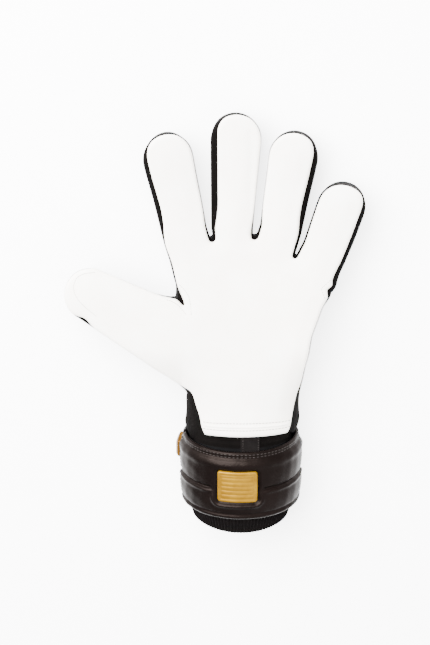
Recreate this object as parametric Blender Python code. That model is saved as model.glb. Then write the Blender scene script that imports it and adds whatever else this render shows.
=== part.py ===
"""Goalkeeper glove for the left hand, lying on its back with the palm up.

The glove is cut from flat patterns, as a real one is. A pattern is drawn in millimetres, with x from
the thumb side to the little-finger side, y from the wrist to the fingertips and z = 0 on the outer
face of the palm. hand_place() then gives it the glove's thickness, hollow palm, arched wrist and
curled fingers, and returns metres. Straps are drawn flat too, and strap_place() wraps them round the
wrist.
"""
import math

import bmesh
import bpy
from mathutils import Matrix, Vector

MM = 0.001

# Layers of the hand, as depths below the outer face of the palm in the flat pattern.
PATTERN_DEPTH = 50.0
PATTERN_STRETCH = 1.055
LAYER_ZONE = 8.0
PALM_FOAM = 5.0
HEM_FOAM = 4.0
GUSSET_TOP = -5.8
GUSSET_BOTTOM = -46.5
BACK_TOP = -47.0
LINING_TOP = -7.0
LINING_THICKNESS = 1.1
BACK_LINING_LOW = -44.8
WRIST_LINING_INSET = 5.0
GUSSET_THICKNESS = 2.2
PAD_INSET = 1.6
HINGE_LEVEL = -4.8
HINGE_GAP = 0.4

# Depth of the glove at stations along the hand, from the wrist to the fingertips.
DEPTH_STATIONS = ((-80.0, 54.0), (10.0, 54.0), (60.0, 44.0), (120.0, 34.0), (165.0, 28.0), (235.0, 23.0))
THUMB_THINNER = 12.0
THUMB_THIN_FROM = 45.0
THUMB_THIN_TO = 95.0

# The hollow of the palm.
CUP_ANGLE = math.radians(8.0)
CUP_WIDTH = 35.0
CUP_CENTRE = 5.0
CUP_FADE = (0.0, 45.0)

# Bends along the glove, and the pitch of the whole glove on the table.
WRIST_BEND = math.radians(11.75)
WRIST_BEND_SPAN = (-2.0, 12.0)
KNUCKLE_CURL = math.radians(6.0)
KNUCKLE_SPAN = (112.0, 138.0)
FINGER_CURL = math.radians(7.0)
FINGER_SPAN = (155.0, 185.0)
PITCH = math.radians(-11.75)

# The middle of the glove's underside, which becomes the origin.
ORIGIN = Vector((-0.01997, 0.076268, -0.058277))

# The cuff: an oval tube, with the straps wrapped round it in layers.
CUFF_HALF_WIDTH = 37.5
CUFF_HALF_DEPTH = 26.0
CUFF_SHIFT = -1.0
CUFF_LEVEL = -27.0
CUFF_WALL = 1.6
CUFF_TOP = -2.0
SLEEVE_END = -53.0
RIB_END = -64.0
WEB_TOP = 11.4
WEB_BOTTOM = -1.5
WRIST_HINGE_Y = 5.0
PALM_START = 12.0
HEM_TOP = 20.0
WRIST_ROUND_WIDTH = 39.5
WRIST_ROUND_DEPTH = 27.0
WRIST_ROUND_FILL = 0.9
WRIST_ROUND_FADE = (10.0, 60.0)
STRAP_WIDTH = 50.0
STRAP_RADIUS = 38.0
STRAP_LAYER = (2.8, 6.0)
LOOP_LAYER = (0.4, 1.2)
HOOK_LAYER = (1.6, 2.4)
BADGE_LAYER = (6.4, 8.4)
BEZEL_LAYER = (6.4, 7.6)
FLAP_RIGHT = 57.0
FLAP_LEFT = -56.0
STRAP_BACK_SPAN = (61.5, 176.0)

# Curl of each hinge, which sets how far the palm foam is cut back from it.
KNUCKLE_LIMIT = math.radians(40.0)
FINGER_LIMIT = math.radians(55.0)
GROOVE_SPARE = math.radians(4.0)

# Spacing of the cuts that let a flat pattern bend.
HAND_CUTS = 12.0
# The strap's cuts leave one facet level under the wrist.
STRAP_CUTS = math.pi * STRAP_RADIUS / 15.5
WEB_CUTS = 3.0
RING_SEGMENTS = 36
TIP_SEGMENTS = 8

WHITE_LATEX = (0.87, 0.86, 0.82, 1.0)
BLACK_KNIT = (0.022, 0.019, 0.018, 1.0)
BLACK_LEATHER = (0.030, 0.025, 0.024, 1.0)
BLACK_RIB = (0.040, 0.034, 0.034, 1.0)
BLACK_LINING = (0.015, 0.015, 0.016, 1.0)
GOLD = (0.60, 0.36, 0.09, 1.0)


class Digit:
    """A finger or thumb on the flat pattern.

    It starts at base and points along aim. Its half width runs from half_base, on its thumb side and
    its other side, to half_tip at the centre of the round tip. Its two hinges lie along hinge_line,
    the first at the base and the second at the distance second along the digit.
    """

    def __init__(self, base, aim, hinge_line, half_base, half_tip, second, reach):
        self.base = Vector(base)
        self.aim = math.radians(aim)
        self.along = Vector((math.cos(self.aim), math.sin(self.aim)))
        self.side = Vector((self.along.y, -self.along.x))
        hinge_angle = math.radians(hinge_line)
        self.hinge = Vector((math.cos(hinge_angle), math.sin(hinge_angle)))
        self.slant = abs(self.along.cross(self.hinge))
        self.half_base = half_base
        self.half_tip = half_tip
        self.second = second
        self.tip_centre = self.base + reach * self.along

    def edge(self, side, distance, inset=0.0):
        """Where the edge on one side, -1 or 1, meets the hinge line at a distance along the digit."""
        half_base = self.half_base[0] if side < 0 else self.half_base[1]
        start = self.base + side * (half_base - inset) * self.side
        run = self.tip_centre + side * (self.half_tip - inset) * self.side - start
        line_point = self.base + distance * self.along
        share = (line_point - start).cross(self.hinge) / run.cross(self.hinge)
        return start + share * run

    def tip_arc(self, inset=0.0):
        """The round tip, from the far side to the thumb side."""
        radius = self.half_tip - inset
        points = []
        for step in range(TIP_SEGMENTS + 1):
            turn = self.aim - math.pi / 2 + math.pi * step / TIP_SEGMENTS
            points.append(self.tip_centre + radius * Vector((math.cos(turn), math.sin(turn))))
        return points


DIGITS = {
    "thumb": Digit((-59.5, 73.0), 154.2, 64.2, (25.0, 20.0), 17.4, 34.0, 53.0),
    "index": Digit((-39.4, 134.0), 101.8, 0.0, (15.3, 15.3), 17.2, 37.0, 59.7),
    "middle": Digit((-7.6, 136.0), 87.9, -3.0, (14.0, 13.6), 17.0, 40.0, 68.8),
    "ring": Digit((25.3, 136.0), 81.2, 1.0, (14.0, 14.0), 16.6, 36.0, 57.7),
    "little": Digit((55.4, 122.0), 71.0, -8.0, (16.0, 16.0), 16.6, 24.0, 37.9),
}
CROTCHES = {"ring_little": (36.3, 116.5), "middle_ring": (8.3, 131.5), "index_middle": (-22.4, 130.5)}
CROTCH_RADIUS = 1.4
LITTLE_SIDE = ((40.5, 32.0), (45.5, 54.0), (47.6, 66.5), (52.0, 76.5), (61.0, 88.0), (65.0, 100.0))
INDEX_SIDE = ((-50.0, 114.0), (-45.5, 100.0))
THUMB_CROTCH = (-40.5, 88.5)
THUMB_CROTCH_RADIUS = 4.0
THUMB_CROTCH_TURN = -110.0
ARC_SEGMENTS = 4
THUMB_SIDE = ((-64.4, 45.5), (-53.0, 37.0), (-46.0, 32.5), (-40.0, 24.5))
WRIST_LEFT = -40.0
WRIST_RIGHT = 39.0
LATEX_LEFT = -28.0
LATEX_RIGHT = 34.0
# Gaps between neighbouring pieces, and the black cloth panels beside the palm's heel.
SEAM_GAP = 0.4
PANEL_GAP = 0.6
PANEL_INSET = 0.5
PANEL_LEVEL = -1.5
LITTLE_PANEL_TOPS = (20.0, 31.0)
THUMB_PANEL_TOPS = (20.0, 23.4)
LINING_GAP = 1.2
# Rectangles on the wrapped strap: first and last u, then first and last y.
ENTRY_STRIP_SPAN = (1.0, 11.0)
ENTRY_STRIP_LAYER = (0.6, 1.3)
LOOP_AREA = (-52.0, -14.0, -48.0, -6.0)
HOOK_AREA = (-50.0, -16.0, -46.0, -8.0)
SIDE_BADGE_AREA = (160.0, 175.0, -22.0, -3.0)
FRONT_BADGE_AREA = (-16.0, 11.0, -39.0, -15.0)
BEZEL_WIDTH = 2.4
BEZEL_GAP = 0.6
PATCH_CORNER = 2.0
STRAP_CORNER = 3.0
SIDE_BADGE_CORNER = 5.0
RIB_PROUD = 0.6


def smooth(low, high, value):
    """0 below low, 1 above high, with an even slope between."""
    share = min(max((value - low) / (high - low), 0.0), 1.0)
    return share * share * (3.0 - 2.0 * share)


def depth_at(x, y):
    """Thickness of the glove at a point of the pattern."""
    depth = DEPTH_STATIONS[-1][1]
    for (y_low, low), (y_high, high) in zip(DEPTH_STATIONS, DEPTH_STATIONS[1:]):
        if y <= y_high:
            depth = low + (high - low) * (y - y_low) / (y_high - y_low)
            break
    return depth - THUMB_THINNER * smooth(THUMB_THIN_FROM, THUMB_THIN_TO, -x)


def bend_at(y):
    """Slope of the glove's length at y, against the plane of the palm."""
    wrist = WRIST_BEND * (1.0 - smooth(*WRIST_BEND_SPAN, y))
    return wrist + KNUCKLE_CURL * smooth(*KNUCKLE_SPAN, y) + FINGER_CURL * smooth(*FINGER_SPAN, y)


def spine_line(first, last):
    """Points along the middle of the bent glove, one for each millimetre of the pattern."""
    points = {0: Vector((0.0, CUFF_LEVEL))}
    for direction, end in ((1, last), (-1, first)):
        for step in range(0, end, direction):
            angle = bend_at(step + 0.5 * direction)
            move = direction * PATTERN_STRETCH * Vector((math.cos(angle), math.sin(angle)))
            points[step + direction] = points[step] + move
    return points


SPINE = spine_line(-90, 250)


def bend(x, y, z):
    """Bend a point along the glove's length, and set the whole glove down on the table."""
    floor_y = math.floor(y)
    along, up = SPINE[floor_y].lerp(SPINE[floor_y + 1], y - floor_y)
    angle = bend_at(y)
    along -= (z - CUFF_LEVEL) * math.sin(angle)
    up += (z - CUFF_LEVEL) * math.cos(angle)
    place = Matrix.Rotation(PITCH, 3, "X") @ Vector((x, along, up))
    return place * MM - ORIGIN


def hand_place(x, y, z):
    """Place a point of the hand's flat pattern on the glove."""
    offset = (x - CUFF_SHIFT) / WRIST_ROUND_WIDTH * WRIST_ROUND_FILL
    drop = WRIST_ROUND_DEPTH * (1.0 - math.sqrt(1.0 - min(offset * offset, 0.9)))
    drop *= 1.0 - smooth(*WRIST_ROUND_FADE, y)
    palm_inner = -drop - LAYER_ZONE
    back_inner = -depth_at(x, y) + drop + LAYER_ZONE
    if z >= -LAYER_ZONE:
        level = z - drop
    elif z <= LAYER_ZONE - PATTERN_DEPTH:
        level = back_inner + z + PATTERN_DEPTH - LAYER_ZONE
    else:
        share = (-LAYER_ZONE - z) / (PATTERN_DEPTH - 2.0 * LAYER_ZONE)
        level = palm_inner + share * (back_inner - palm_inner)
    cup = CUP_ANGLE * smooth(*CUP_FADE, y)
    across = (x - CUP_CENTRE) / CUP_WIDTH
    slope = cup * math.tanh(across)
    rise = cup * CUP_WIDTH * math.log(math.cosh(across))
    return bend(x - level * math.sin(slope), y, rise + level * math.cos(slope))


def cuff_place(x, z, y):
    """Place a point of the cuff's cross section, drawn about the middle of the wrist, at y."""
    return bend(x + CUFF_SHIFT, y, z + CUFF_LEVEL)


def strap_place(u, y, layer):
    """Wrap a point of a flat strap round the cuff, u from the middle of the palm side."""
    turn = math.pi / 2 - u / STRAP_RADIUS
    x = (CUFF_HALF_WIDTH + layer) * math.cos(turn)
    z = (CUFF_HALF_DEPTH + layer) * math.sin(turn)
    return cuff_place(x, z, y)


def clear_scene():
    """Remove every object of the open scene."""
    for old in list(bpy.data.objects):
        bpy.data.objects.remove(old, do_unlink=True)


def make_material(name, colour, roughness, metallic=0.0):
    """A plain Principled material."""
    material = bpy.data.materials.new(name)
    material.use_nodes = True
    shader = material.node_tree.nodes["Principled BSDF"]
    shader.inputs["Base Color"].default_value = colour
    shader.inputs["Roughness"].default_value = roughness
    shader.inputs["Metallic"].default_value = metallic
    return material


def extruded(outlines, low, high):
    """A solid of flat outlines, the second one a hole, from low to high."""
    curve = bpy.data.curves.new("pattern", "CURVE")
    curve.dimensions = "2D"
    curve.fill_mode = "BOTH"
    curve.extrude = 0.5 * (high - low)
    for outline in outlines:
        spline = curve.splines.new("POLY")
        spline.points.add(len(outline) - 1)
        spline.use_cyclic_u = True
        for point, corner in zip(spline.points, outline):
            point.co = (corner[0], corner[1], 0.0, 1.0)
    holder = bpy.data.objects.new("pattern", curve)
    bpy.context.scene.collection.objects.link(holder)
    graph = bpy.context.evaluated_depsgraph_get()
    mesh = bpy.data.meshes.new_from_object(holder.evaluated_get(graph))
    solid = bmesh.new()
    solid.from_mesh(mesh)
    bpy.data.objects.remove(holder, do_unlink=True)
    bpy.data.curves.remove(curve)
    bpy.data.meshes.remove(mesh)
    bmesh.ops.remove_doubles(solid, verts=solid.verts, dist=0.01)
    bmesh.ops.translate(solid, verts=solid.verts, vec=(0.0, 0.0, 0.5 * (high + low)))
    bmesh.ops.dissolve_limit(solid, angle_limit=0.001, verts=solid.verts, edges=solid.edges)
    return solid


def cut_across(solid, axis, spacing):
    """Cut the faces of a solid on parallel planes, so that it can bend."""
    values = [vertex.co[axis] for vertex in solid.verts]
    normal = Vector((0.0, 0.0, 0.0))
    normal[axis] = 1.0
    for index in range(math.ceil(min(values) / spacing), math.ceil(max(values) / spacing)):
        everything = list(solid.verts) + list(solid.edges) + list(solid.faces)
        bmesh.ops.bisect_plane(solid, geom=everything, plane_co=normal * index * spacing,
                               plane_no=normal, dist=0.05)


def finish_part(name, solid, place, pivot, material, collection):
    """Bend a flat solid into place, and make it an object whose origin is its pivot's."""
    bmesh.ops.triangulate(solid, faces=solid.faces)
    for vertex in solid.verts:
        vertex.co = place(*vertex.co)
    if solid.calc_volume(signed=True) < 0.0:
        bmesh.ops.reverse_faces(solid, faces=solid.faces)
    mesh = bpy.data.meshes.new(name)
    solid.to_mesh(mesh)
    solid.free()
    part = bpy.data.objects.new(name, mesh)
    collection.objects.link(part)
    part.data.materials.append(material)
    if pivot is not None:
        mesh.transform(pivot.matrix_world.inverted())
        part.parent = pivot
    return part


def hinge_pivot(name, start, end, parent, collection):
    """An empty in the middle of a hinge line, with its X axis along the line."""
    axis = (end - start).normalized()
    across = axis.cross(Vector((0.0, 0.0, 1.0))).normalized()
    turn = Matrix((axis, across, axis.cross(across))).transposed().to_4x4()
    pivot = bpy.data.objects.new(name, None)
    pivot.empty_display_size = 0.01
    collection.objects.link(pivot)
    pivot.parent = parent
    bpy.context.view_layer.update()
    pivot.matrix_world = Matrix.Translation(0.5 * (start + end)) @ turn
    bpy.context.view_layer.update()
    return pivot


def offset_run(points, distance):
    """An open run of points, moved to its left by a distance."""
    moved = []
    for index, point in enumerate(points):
        before = points[max(index - 1, 0)]
        after = points[min(index + 1, len(points) - 1)]
        first = (point - before).normalized() if index else (after - point).normalized()
        second = (after - point).normalized() if index < len(points) - 1 else first
        middle = (first + second).normalized()
        reach = distance / max(middle.dot(first), 0.5)
        moved.append(point + reach * Vector((-middle.y, middle.x)))
    return moved


def ribbon(points, thickness):
    """The outline of a strip of one thickness, on the left of an open run of points."""
    return list(points) + offset_run(points, thickness)[::-1]


def arc(centre, radius, first, last, segments):
    """Points on part of a circle, with its angles in degrees."""
    points = []
    for step in range(segments + 1):
        turn = math.radians(first + (last - first) * step / segments)
        points.append(Vector(centre) + radius * Vector((math.cos(turn), math.sin(turn))))
    return points


def groove(limit):
    """How far the foam stops short of a hinge, so that it can close by the limit."""
    return PALM_FOAM * math.tan(0.5 * limit + GROOVE_SPARE)


def crotch_arc(name, radius=CROTCH_RADIUS):
    """The round bottom of the gap between two fingers, from the little-finger side."""
    centre = Vector(CROTCHES[name]) + Vector((0.0, CROTCH_RADIUS))
    return arc(centre, radius, 0.0, -180.0, ARC_SEGMENTS)


def side_run(name):
    """One side of the hand between two of its corners, as the silhouette runs round it."""
    thumb = DIGITS["thumb"]
    if name == "little":
        inner = [Vector(point) for point in LITTLE_SIDE]
        return [Vector((WRIST_RIGHT, PALM_START))] + inner + [DIGITS["little"].edge(1, -HINGE_GAP)]
    if name == "thumb":
        inner = [Vector(point) for point in THUMB_SIDE]
        return [thumb.edge(-1, -HINGE_GAP)] + inner + [Vector((WRIST_LEFT, PALM_START))]
    inner = [Vector(point) for point in INDEX_SIDE]
    inner += arc(THUMB_CROTCH, THUMB_CROTCH_RADIUS, 0.0, THUMB_CROTCH_TURN, ARC_SEGMENTS)
    return [DIGITS["index"].edge(-1, -HINGE_GAP)] + inner + [thumb.edge(1, -HINGE_GAP)]


def hand_outline(clearance, inset, lower_right, lower_left, crotches):
    """The hand between the hinges of the digits, from the wrist's right corner round to its left."""
    outline = [lower_right] + offset_run(side_run("little"), inset)[1:-1]
    names = ("little", "ring", "middle", "index")
    for position, name in enumerate(names):
        digit = DIGITS[name]
        back_off = -clearance / digit.slant
        outline.append(digit.edge(1, back_off, inset))
        outline.append(digit.edge(-1, back_off, inset))
        if position < len(crotches):
            outline.extend(crotch_arc(crotches[position], CROTCH_RADIUS + inset))
    outline += offset_run(side_run("crotch"), inset)[1:-1]
    thumb = DIGITS["thumb"]
    outline.append(thumb.edge(1, -clearance, inset))
    outline.append(thumb.edge(-1, -clearance, inset))
    return outline + offset_run(side_run("thumb"), inset)[1:-1] + [lower_left]


def add_hand_part(name, outline, low, high, pivot, material, collection):
    """A piece of the hand, cut from its flat outline."""
    solid = extruded([outline], low, high)
    cut_across(solid, 0, HAND_CUTS)
    cut_across(solid, 1, HAND_CUTS)
    return finish_part(name, solid, hand_place, pivot, material, collection)


def add_strap_part(name, outlines, layer, pivot, material, collection):
    """A piece wrapped round the cuff, between two layers above its sleeve."""
    solid = extruded(outlines, *layer)
    cut_across(solid, 0, STRAP_CUTS)
    if max(vertex.co.y for vertex in solid.verts) > CUFF_TOP:
        cut_across(solid, 1, WEB_CUTS)
    return finish_part(name, solid, strap_place, pivot, material, collection)


def add_ring(name, outer, y_low, y_high, pivot, material, collection):
    """An oval tube round the wrist, with its outer face at a distance from the sleeve's."""
    outlines = []
    for growth in (outer, outer - CUFF_WALL):
        loop = []
        for step in range(RING_SEGMENTS):
            turn = 2.0 * math.pi * step / RING_SEGMENTS
            loop.append(((CUFF_HALF_WIDTH + growth) * math.cos(turn),
                         (CUFF_HALF_DEPTH + growth) * math.sin(turn)))
        outlines.append(loop)
    solid = extruded(outlines, y_low, y_high)
    if y_high > CUFF_TOP:
        cut_across(solid, 2, WEB_CUTS)
    return finish_part(name, solid, cuff_place, pivot, material, collection)


def rectangle(u_low, u_high, y_low, y_high, corner=0.0):
    """A rectangle, with its corners cut if a size is given for them."""
    if corner == 0.0:
        return [(u_low, y_low), (u_high, y_low), (u_high, y_high), (u_low, y_high)]
    return [(u_low + corner, y_low), (u_high - corner, y_low), (u_high, y_low + corner),
            (u_high, y_high - corner), (u_high - corner, y_high), (u_low + corner, y_high),
            (u_low, y_high - corner), (u_low, y_low + corner)]


def grown(area, amount):
    """A rectangle's limits, moved out by an amount on every side."""
    u_low, u_high, y_low, y_high = area
    return u_low - amount, u_high + amount, y_low - amount, y_high + amount


def add_digit(name, digit, materials, collection):
    """The pads, backs and gussets of one digit, on its two hinges."""
    starts = (0.0, digit.second)
    pivots = []
    for label, start in zip(("knuckle", "middle_joint"), starts):
        ends = [hand_place(*digit.edge(side, start), HINGE_LEVEL) for side in (-1, 1)]
        parent = pivots[0] if pivots else None
        pivots.append(hinge_pivot(f"{name}_{label}", *ends, parent, collection))
    gap = HINGE_GAP / digit.slant
    near = groove(KNUCKLE_LIMIT) / digit.slant
    far = groove(FINGER_LIMIT) / digit.slant

    def band(start, end, inset):
        return [digit.edge(-1, start, inset), digit.edge(1, start, inset),
                digit.edge(1, end, inset), digit.edge(-1, end, inset)]

    def cap(start, inset):
        return [digit.edge(1, start, inset)] + digit.tip_arc(inset) + [digit.edge(-1, start, inset)]

    lower, upper = pivots
    first_end = digit.second - gap
    second_start = digit.second + gap
    latex, knit = materials["latex"], materials["knit"]
    add_hand_part(f"{name}_lower_pad", band(near, digit.second - far, PAD_INSET), -PALM_FOAM, 0.0,
                  lower, latex, collection)
    add_hand_part(f"{name}_tip_pad", cap(digit.second + far, PAD_INSET), -PALM_FOAM, 0.0,
                  upper, latex, collection)
    add_hand_part(f"{name}_lower_back", band(gap, first_end, 0.0), -PATTERN_DEPTH, BACK_TOP,
                  lower, knit, collection)
    add_hand_part(f"{name}_tip_back", cap(second_start, 0.0), -PATTERN_DEPTH, BACK_TOP,
                  upper, knit, collection)
    inner_wall = [digit.edge(-1, first_end), digit.edge(-1, gap)]
    outer_wall = [digit.edge(1, gap), digit.edge(1, first_end)]
    add_hand_part(f"{name}_inner_gusset", ribbon(inner_wall, GUSSET_THICKNESS), GUSSET_BOTTOM,
                  GUSSET_TOP, lower, knit, collection)
    add_hand_part(f"{name}_outer_gusset", ribbon(outer_wall, GUSSET_THICKNESS), GUSSET_BOTTOM,
                  GUSSET_TOP, lower, knit, collection)
    add_hand_part(f"{name}_tip_gusset", ribbon(cap(second_start, 0.0), GUSSET_THICKNESS),
                  GUSSET_BOTTOM, GUSSET_TOP, upper, knit, collection)


def add_hand(materials, collection):
    """The palm, the back of the hand and the gussets between them, which carry the digits."""
    latex, knit, lining = materials["latex"], materials["knit"], materials["lining"]
    wrist_right = Vector((WRIST_RIGHT, PALM_START))
    wrist_left = Vector((WRIST_LEFT, PALM_START))
    latex_right = Vector((LATEX_RIGHT, HEM_TOP + SEAM_GAP))
    latex_left = Vector((LATEX_LEFT, HEM_TOP + SEAM_GAP))
    palm = hand_outline(groove(KNUCKLE_LIMIT), PAD_INSET, latex_right, latex_left, ())
    add_hand_part("palm_latex", palm, -PALM_FOAM, 0.0, None, latex, collection)
    back = hand_outline(HINGE_GAP, 0.0, wrist_right, wrist_left, tuple(CROTCHES))
    add_hand_part("backhand", back, -PATTERN_DEPTH, BACK_TOP, None, knit, collection)
    add_hand_part("palm_hem", rectangle(LATEX_LEFT, LATEX_RIGHT, PALM_START, HEM_TOP), -HEM_FOAM, 0.0,
                  None, latex, collection)
    low, high = LITTLE_PANEL_TOPS
    near, side = LATEX_RIGHT + PANEL_GAP, WRIST_RIGHT - PANEL_INSET
    panel = [(near, PALM_START), (side, PALM_START), (side, high), (near, low)]
    add_hand_part("little_wrist_panel", panel, -HEM_FOAM, PANEL_LEVEL, None, knit, collection)
    low, high = THUMB_PANEL_TOPS
    near, side = LATEX_LEFT - PANEL_GAP, WRIST_LEFT + PANEL_INSET
    panel = [(side, PALM_START), (near, PALM_START), (near, low), (side, high)]
    add_hand_part("thumb_wrist_panel", panel, -HEM_FOAM, PANEL_LEVEL, None, knit, collection)

    walls = {"little_side_gusset": side_run("little"), "thumb_side_gusset": side_run("thumb"),
             "thumb_crotch_gusset": side_run("crotch")}
    pairs = {"ring_little": ("little", "ring"), "middle_ring": ("ring", "middle"),
             "index_middle": ("middle", "index")}
    for crotch, (right, left) in pairs.items():
        right_end = DIGITS[right].edge(-1, -HINGE_GAP)
        left_end = DIGITS[left].edge(1, -HINGE_GAP)
        walls[f"{crotch}_gusset"] = [right_end] + crotch_arc(crotch) + [left_end]
    for name, wall in walls.items():
        add_hand_part(name, ribbon(wall, GUSSET_THICKNESS), GUSSET_BOTTOM, GUSSET_TOP, None, knit,
                      collection)

    lining_right = Vector((WRIST_RIGHT - WRIST_LINING_INSET, PALM_START))
    lining_left = Vector((WRIST_LEFT + WRIST_LINING_INSET, PALM_START))
    inner = hand_outline(HINGE_GAP, GUSSET_THICKNESS + LINING_GAP, lining_right, lining_left, tuple(CROTCHES))
    add_hand_part("palm_lining", inner, LINING_TOP - LINING_THICKNESS, LINING_TOP, None, lining,
                  collection)
    add_hand_part("back_lining", inner, BACK_LINING_LOW, BACK_LINING_LOW + LINING_THICKNESS, None,
                  lining, collection)


def add_cuff(materials, collection):
    """The sleeve, cuff and fixed half of the strap, on the wrist hinge, and the strap's flap."""
    ends = [cuff_place(side * CUFF_HALF_WIDTH, 0.0, WRIST_HINGE_Y) for side in (-1, 1)]
    wrist = hinge_pivot("wrist", *ends, None, collection)
    strap_end = CUFF_TOP - STRAP_WIDTH
    hinge_x = CUFF_HALF_WIDTH + STRAP_LAYER[1]
    ends = [cuff_place(hinge_x, 0.0, y) for y in (strap_end, CUFF_TOP)]
    strap = hinge_pivot("strap_hinge", *ends, wrist, collection)
    knit, leather, rib = materials["knit"], materials["leather"], materials["rib"]
    gold, lining = materials["gold"], materials["lining"]

    add_ring("wrist_web", 0.0, WEB_BOTTOM, WEB_TOP, wrist, knit, collection)
    add_ring("wrist_sleeve", 0.0, SLEEVE_END, CUFF_TOP, wrist, knit, collection)
    add_ring("rib_cuff", RIB_PROUD, RIB_END, SLEEVE_END - SEAM_GAP, wrist, rib, collection)
    strip = rectangle(*ENTRY_STRIP_SPAN, WEB_BOTTOM + PANEL_INSET, WEB_TOP - PANEL_INSET)
    add_strap_part("entry_strip", [strip], ENTRY_STRIP_LAYER, wrist, rib, collection)
    back = rectangle(*STRAP_BACK_SPAN, strap_end, CUFF_TOP, STRAP_CORNER)
    add_strap_part("strap_back", [back], STRAP_LAYER, wrist, leather, collection)
    add_strap_part("loop_patch", [rectangle(*LOOP_AREA, PATCH_CORNER)], LOOP_LAYER, wrist, lining,
                   collection)
    add_strap_part("side_badge", [rectangle(*SIDE_BADGE_AREA, SIDE_BADGE_CORNER)], BADGE_LAYER, wrist,
                   gold, collection)

    flap = rectangle(FLAP_LEFT, FLAP_RIGHT, strap_end, CUFF_TOP, STRAP_CORNER)
    add_strap_part("strap_flap", [flap], STRAP_LAYER, strap, leather, collection)
    add_strap_part("hook_patch", [rectangle(*HOOK_AREA, PATCH_CORNER)], HOOK_LAYER, strap, lining,
                   collection)
    add_strap_part("front_badge", [rectangle(*FRONT_BADGE_AREA, PATCH_CORNER)], BADGE_LAYER, strap,
                   gold, collection)
    bezel = [rectangle(*grown(FRONT_BADGE_AREA, BEZEL_GAP + BEZEL_WIDTH), STRAP_CORNER),
             rectangle(*grown(FRONT_BADGE_AREA, BEZEL_GAP), PATCH_CORNER)]
    add_strap_part("badge_bezel", bezel, BEZEL_LAYER, strap, leather, collection)


def main():
    clear_scene()
    collection = bpy.data.collections.new("goalkeeper_glove")
    bpy.context.scene.collection.children.link(collection)
    materials = {
        "latex": make_material("latex", WHITE_LATEX, 0.75),
        "knit": make_material("knit", BLACK_KNIT, 0.85),
        "leather": make_material("leather", BLACK_LEATHER, 0.45),
        "rib": make_material("rib", BLACK_RIB, 0.9),
        "lining": make_material("lining", BLACK_LINING, 0.95),
        "gold": make_material("gold", GOLD, 0.35, 0.6),
    }
    add_hand(materials, collection)
    for name, digit in DIGITS.items():
        add_digit(name, digit, materials, collection)
    add_cuff(materials, collection)


main()
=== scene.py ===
"""Looks for the left-hand goalkeeper glove: sewn latex, gussets, strap, cuff, floor, light and camera.

Shapes are drawn on the glove's flat pattern, in millimetres, and bent into place by the same rules as
the CAD solids: x runs from the thumb side to the little finger, y from the wrist to the fingertips,
and z is 0 on the outer face of the palm.
"""
import math

import bpy
import numpy as np
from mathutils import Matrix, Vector
from mathutils.geometry import delaunay_2d_cdt


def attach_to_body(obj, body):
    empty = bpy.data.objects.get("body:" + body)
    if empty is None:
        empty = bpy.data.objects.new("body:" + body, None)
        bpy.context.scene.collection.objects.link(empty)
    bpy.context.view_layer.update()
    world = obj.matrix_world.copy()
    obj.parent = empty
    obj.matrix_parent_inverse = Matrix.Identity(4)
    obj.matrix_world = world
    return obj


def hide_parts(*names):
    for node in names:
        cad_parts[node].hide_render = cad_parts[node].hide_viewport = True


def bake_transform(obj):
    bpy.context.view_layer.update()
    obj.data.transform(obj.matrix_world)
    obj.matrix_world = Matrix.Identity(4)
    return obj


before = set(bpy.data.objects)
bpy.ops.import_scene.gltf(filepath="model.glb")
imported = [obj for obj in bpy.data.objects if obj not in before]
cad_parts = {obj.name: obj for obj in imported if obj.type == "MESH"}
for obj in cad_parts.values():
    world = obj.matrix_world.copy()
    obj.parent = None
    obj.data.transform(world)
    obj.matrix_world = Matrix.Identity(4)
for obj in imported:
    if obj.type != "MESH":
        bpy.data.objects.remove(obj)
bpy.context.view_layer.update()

MM = 0.001

# The bent glove, as the CAD model has it.
PATTERN_DEPTH = 50.0
PATTERN_STRETCH = 1.055
LAYER_ZONE = 8.0
DEPTH_Y = (-80.0, 10.0, 60.0, 120.0, 165.0, 235.0)
DEPTH = (54.0, 54.0, 44.0, 34.0, 28.0, 23.0)
THUMB_THINNER = 12.0
THUMB_THIN = (45.0, 95.0)
CUP_ANGLE = math.radians(8.0)
CUP_WIDTH = 35.0
CUP_CENTRE = 5.0
CUP_FADE = (0.0, 45.0)
WRIST_BEND = math.radians(11.75)
WRIST_BEND_SPAN = (-2.0, 12.0)
KNUCKLE_CURL = math.radians(6.0)
KNUCKLE_SPAN = (112.0, 138.0)
FINGER_CURL = math.radians(7.0)
FINGER_SPAN = (155.0, 185.0)
PITCH = math.radians(-11.75)
ORIGIN = np.array((-0.01997, 0.076268, -0.058277))
CUFF_HALF_WIDTH = 37.5
CUFF_HALF_DEPTH = 26.0
CUFF_SHIFT = -1.0
CUFF_LEVEL = -27.0
STRAP_WIDTH = 50.0
STRAP_RADIUS = 38.0
WRIST_ROUND_WIDTH = 39.5
WRIST_ROUND_DEPTH = 27.0
WRIST_ROUND_FILL = 0.9
WRIST_ROUND_FADE = (10.0, 60.0)
HINGE_LEVEL = -4.8
PALM_START = 12.0
HEM_END = 1.6


def smooth(low, high, value):
    """0 below low, 1 above high, with an even slope between."""
    share = np.clip((value - low) / (high - low), 0.0, 1.0)
    return share * share * (3.0 - 2.0 * share)


def bell(distance, width):
    """A smooth bump of height one."""
    return np.exp(-(distance / width) ** 2)


def bend_at(y):
    """How far the glove's middle line is turned at a place along the pattern."""
    wrist = WRIST_BEND * (1.0 - smooth(*WRIST_BEND_SPAN, y))
    return wrist + KNUCKLE_CURL * smooth(*KNUCKLE_SPAN, y) + FINGER_CURL * smooth(*FINGER_SPAN, y)


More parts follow.
